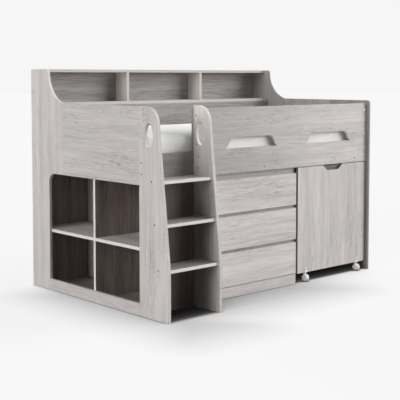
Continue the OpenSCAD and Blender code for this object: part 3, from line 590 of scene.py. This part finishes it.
def foam_mattress():
    """Foam mattress in a knitted cover, swelled by a cloth simulation from a slightly smaller shape.

    The cover's pressure rounds the rims, crowns the top and draws the long sides in a little towards
    the corners. A point moves 7 mm at most. The bottom stays flat on the slats.
    """
    low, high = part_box("mattress")
    bm = bmesh.new()
    bmesh.ops.create_cube(bm, size=2.0)
    bmesh.ops.scale(bm, vec=(high - low) / 2 - MATTRESS_INSIDE, verts=bm.verts)
    bmesh.ops.translate(bm, vec=(low + high) / 2, verts=bm.verts)
    upright = [e for e in bm.edges if abs((e.verts[0].co - e.verts[1].co).normalized().z) > 0.9]
    bmesh.ops.bevel(bm, geom=upright, offset=MATTRESS_CORNER, offset_type="OFFSET", segments=6, profile=0.5,
                    affect="EDGES", material=-1)
    rims = {e for f in bm.faces if abs(f.normal.z) > 0.9 for e in f.edges}
    bmesh.ops.bevel(bm, geom=list(rims), offset=MATTRESS_RIM, offset_type="OFFSET", segments=5, profile=0.5,
                    affect="EDGES", material=-1)
    made = piece("foam_mattress", bm, knitted_ticking(low.z, high.z), "bed_frame",
                 ["mattress"])
    remesh = made.modifiers.new("voxels", "REMESH")
    remesh.mode = "VOXEL"
    remesh.voxel_size = MATTRESS_VOXEL
    settle(made)
    rest = [v.co.copy() for v in made.data.vertices]
    cloth = made.modifiers.new("cover", "CLOTH")
    cloth.settings.use_pressure = True
    cloth.settings.uniform_pressure_force = COVER_PRESSURE
    cloth.settings.effector_weights.gravity = 0.0
    for step in range(1, COVER_STEPS + 1):
        bpy.context.scene.frame_set(step)
    settle(made)
    bpy.context.scene.frame_set(1)
    for vert, before in zip(made.data.vertices, rest):
        moved = vert.co - before
        vert.co = before + moved * min(1.0, MATTRESS_MOST / max(moved.length, 0.001 * MM))
        vert.co.z = max(vert.co.z, low.z)
    bm = bmesh.new()
    bm.from_mesh(made.data)
    for _ in range(2):
        bmesh.ops.smooth_vert(bm, verts=bm.verts, factor=0.5, use_axis_x=True, use_axis_y=True,
                              use_axis_z=True)
    bm.to_mesh(made.data)
    bm.free()
    made.data.polygons.foreach_set("use_smooth", [True] * len(made.data.polygons))
    finish = made.modifiers.new("finish", "SUBSURF")
    finish.levels = finish.render_levels = 1


frame_screws()
panel_bolts()
guard_caps()
bracket_screws()
axle_plugs()
handle_backing()
foam_mattress()

# Camera: at the photograph's place, worked out from the bed's own straight edges. The focal length is
# stated in widths of the picture
CAMERA_PLACE = Vector((-4.2476, -4.5053, 1.3246))
CAMERA_YAW, CAMERA_PITCH = math.radians(42.23), math.radians(-3.81)
CAMERA_FOCAL, CAMERA_SHIFT = 953.5 / 400, -0.15
camera = bpy.data.objects.new("camera", bpy.data.cameras.new("camera"))
bpy.context.scene.collection.objects.link(camera)
camera.location = CAMERA_PLACE
sight = Vector((math.sin(CAMERA_YAW) * math.cos(CAMERA_PITCH),
                math.cos(CAMERA_YAW) * math.cos(CAMERA_PITCH), math.sin(CAMERA_PITCH)))
camera.rotation_euler = sight.to_track_quat("-Z", "Y").to_euler()
camera.data.sensor_width = 36.0
camera.data.lens = CAMERA_FOCAL * camera.data.sensor_width
camera.data.shift_y = CAMERA_SHIFT
bpy.context.scene.camera = camera

# Broad soft lamps: degrees from the front, degrees above the floor, and strength. The last lights the back
LAMPS = ((-90, 10, 2.7), (45, 10, 2.67), (75, 32, 2.25), (-45, 58, 0.42), (-70, 32, 0.15), (180, 12, 2.2))
LAMP_BREADTH = math.radians(40)
for azimuth, height, strength in LAMPS:
    light = bpy.data.lights.new("soft_lamp", "SUN")
    light.energy = strength
    light.angle = LAMP_BREADTH
    lamp = bpy.data.objects.new("soft_lamp", light)
    bpy.context.scene.collection.objects.link(lamp)
    across, up = math.radians(azimuth), math.radians(height)
    towards = Vector((math.sin(across) * math.cos(up), -math.cos(across) * math.cos(up), math.sin(up)))
    lamp.rotation_euler = (-towards).to_track_quat("-Z", "Y").to_euler()

PALE_BEHIND, PALE_FLOOR = "#f6f6f6", "#f8f8f8"


def seen_directly(material):
    """1 where it is seen, in a reflection too, or looked through to, and 0 where it lights other things."""
    rays = add(material, "LightPath").outputs
    seen = add(material, "Math", {0: rays["Is Camera Ray"], 1: rays["Is Glossy Ray"]}, operation="MAXIMUM")
    return add(material, "Math", {0: seen, 1: rays["Is Transmission Ray"]}, operation="MAXIMUM")


def pale_surroundings():
    """A world that looks pale and gives no light of its own."""
    world = bpy.data.worlds.new("studio")
    bpy.context.scene.world = world
    world.use_nodes = True
    world.node_tree.nodes.clear()
    shown = add(world, "Background", {"Color": linear(PALE_BEHIND), "Strength": seen_directly(world)})
    add(world, "OutputWorld", {"Surface": shown})


def beyond(material, place, low, high):
    """How far a point lies outside a rectangle on the floor, in metres, or inside it where negative."""
    middle, half = (Vector(low) + Vector(high)) / 2 * MM, (Vector(high) - Vector(low)) / 2 * MM
    off = add(material, "VectorMath", {0: place, 1: (*middle, 0.0)}, operation="SUBTRACT")
    off = add(material, "VectorMath", {0: off}, operation="ABSOLUTE")
    off = add(material, "VectorMath", {0: off, 1: (*half, 1.0)}, operation="SUBTRACT")
    parts = add(material, "SeparateXYZ", {0: off}).outputs
    outside = add(material, "VectorMath", {0: off, 1: (0.0, 0.0, 0.0)}, operation="MAXIMUM")
    outside = add(material, "VectorMath", {0: outside}, operation="LENGTH").outputs["Value"]
    inside = add(material, "Math", {0: parts[0], 1: parts[1]}, operation="MAXIMUM")
    inside = add(material, "Math", {0: inside, 1: 0.0}, operation="MINIMUM")
    return add(material, "Math", {0: outside, 1: inside}, operation="ADD")


def outside_bed(material, place, right=RIGHT, grown=0):
    """How far a point lies outside the footprint of the bed and its ladder, or inside it where negative.

    right is where the footprint ends. grown makes it wider on all sides but the front.
    """
    ladder, bed = [beyond(material, place, (LEFT - grown, front), (side + grown, BACK + grown))
                   for front, side in ((LADDER_FRONT, LADDER_RIGHT), (PANEL_FRONT, right))]
    return add(material, "Math", {0: ladder, 1: bed}, operation="MINIMUM")


# The floor's half size and its shades, in metres. The cast shade is that of the footprint's left three
# quarters, and this is the way from a point of it back to the footprint
FLOOR_HALF, CAST_BACK, CAST_RIGHT = 60.0, (0.12, 0.3, 0.0), RIGHT / 2
CAST_SHADE = [(0.22, 0.6), (0.35, 0.66), (0.5, 0.78), (0.6, 0.87), (0.7, 0.94), (0.82, 1.0)]
# Shade beside the walls, and right under an edge: how far it reaches, and by how open the floor is there
OPEN_SHADES = ((1.6, [(0.0, 0.03), (0.3, 0.3), (0.48, 0.8), (0.6, 0.96), (0.7, 1.0)]),
               (0.05, [(0.45, 0.3), (0.8, 1.0)]))
# The dark under the bed: from where it starts to where it is full, by how far a point lies outside the
# footprint, by depth, so that it fades towards the open back, and by how far it lies behind the front.
# For the last the footprint's sides and back are SIDES_GROWN mm further out, so that only its front counts
UNDER_EDGE, UNDER_DEPTH, UNDER_FRONT, SIDES_GROWN = (0.01, -0.03), (0.45, -0.15), (0.0, -0.15), 200
UNDER_COLOURS = [(0.0, "#5a5958"), (0.5, "#2c2b2a"), (1.0, "#161515")]
LIT_SHARE, LIGHTING_GREY = 0.12, 0.24     # of the seen floor that is lit, and what the floor throws back


def studio_floor():
    """A pale floor, mostly of its own light where it is seen, so that it looks as pale as its surroundings.

    Its shade is painted: a soft one cast to the front and the left, one beside the walls, one under
    each edge, and the dark under the bed.
    """
    bm = bmesh.new()
    bmesh.ops.create_grid(bm, x_segments=1, y_segments=1, size=FLOOR_HALF)
    mesh = bpy.data.meshes.new("floor")
    bm.to_mesh(mesh)
    bm.free()
    made = bpy.data.objects.new("floor", mesh)
    bpy.context.scene.collection.objects.link(made)
    material = new_material("studio_floor")
    place = add(material, "TexCoord").outputs["Object"]
    moved = add(material, "VectorMath", {0: place, 1: CAST_BACK}, operation="ADD")
    near = add(material, "Math", {0: outside_bed(material, moved, CAST_RIGHT), 1: 0.5}, operation="ADD")
    painted_shades = [add(material, "ValToRGB", {"Fac": near}, stops=CAST_SHADE)]
    for reach, stops in OPEN_SHADES:
        openness = add(material, "AmbientOcclusion", {"Distance": reach}, samples=16).outputs["AO"]
        painted_shades.append(add(material, "ValToRGB", {"Fac": openness}, stops=stops))
    shown = linear(PALE_FLOOR)
    for shade in painted_shades:
        shown = add(material, "Mix", {0: 1.0, 6: shown, 7: shade}, data_type="RGBA", blend_type="MULTIPLY")

    depth = add(material, "SeparateXYZ", {0: place}).outputs[1]
    edge, front, inner = [
        add(material, "MapRange", {"Value": value, "From Min": start, "From Max": full})
        for value, (start, full) in (
            (outside_bed(material, place), UNDER_EDGE), (depth, UNDER_DEPTH),
            (outside_bed(material, place, grown=SIDES_GROWN), UNDER_FRONT))]
    under = add(material, "Math", {0: edge, 1: front}, operation="MULTIPLY")
    dark = add(material, "ValToRGB", {"Fac": inner}, stops=UNDER_COLOURS)
    shown = add(material, "Mix", {0: under, 6: shown, 7: dark}, data_type="RGBA")

    glow = add(material, "Emission", {"Color": shown, "Strength": 1.0})
    matt = add(material, "BsdfDiffuse", {"Color": shown})
    seen = add(material, "MixShader", {0: LIT_SHARE, 1: glow, 2: matt})
    hidden = add(material, "BsdfDiffuse", {"Color": [LIGHTING_GREY] * 3 + [1.0]})
    finish_material(material, add(material, "MixShader", {0: seen_directly(material), 1: hidden, 2: seen}))
    mesh.materials.append(material)


pale_surroundings()
studio_floor()
bpy.context.scene.view_settings.view_transform = "Standard"
